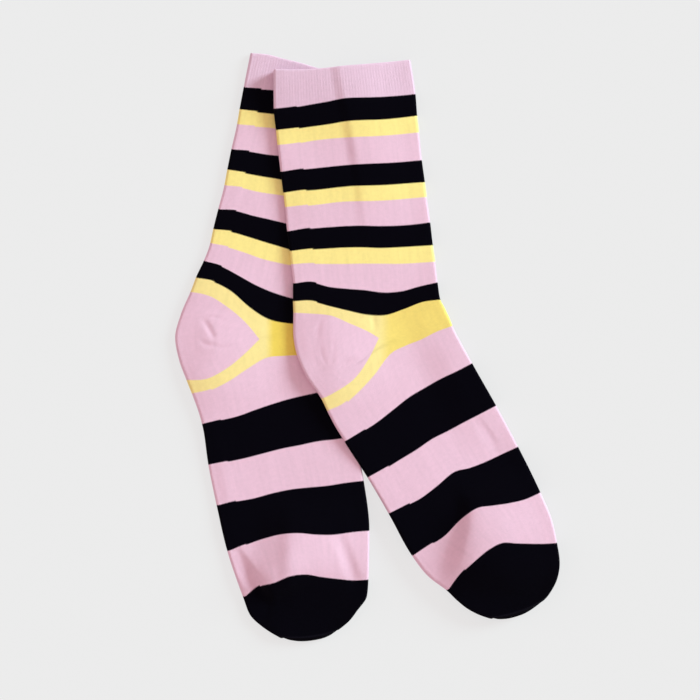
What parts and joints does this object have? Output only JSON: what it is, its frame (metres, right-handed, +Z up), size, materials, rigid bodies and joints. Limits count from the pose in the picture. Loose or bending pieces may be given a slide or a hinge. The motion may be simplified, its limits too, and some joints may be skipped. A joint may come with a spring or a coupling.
{
  "type": "pair of crew socks",
  "caption": "Pair of striped knitted crew socks laid flat, one across the front edge of the other, with ribbed cuffs, shaped heels and closed toes.",
  "frame": {"origin": "middle of the pair on the surface that the socks lie on", "axes": "+Z up from the surface, +Y along the legs towards the cuffs, +X towards the upper sock's front edge"},
  "size_m": [0.2305, 0.3529, 0.0094],
  "materials": {
    "knit_under": "matte plain knit in pink cotton yarn with black and yellow stripes and a black toe",
    "knit_over": "matte plain knit in pink cotton yarn with black and yellow stripes and a black toe"
  },
  "bodies": {
    "root": {"sock_under": "knit_under", "sock_over": "knit_over"}
  },
  "joints": []
}
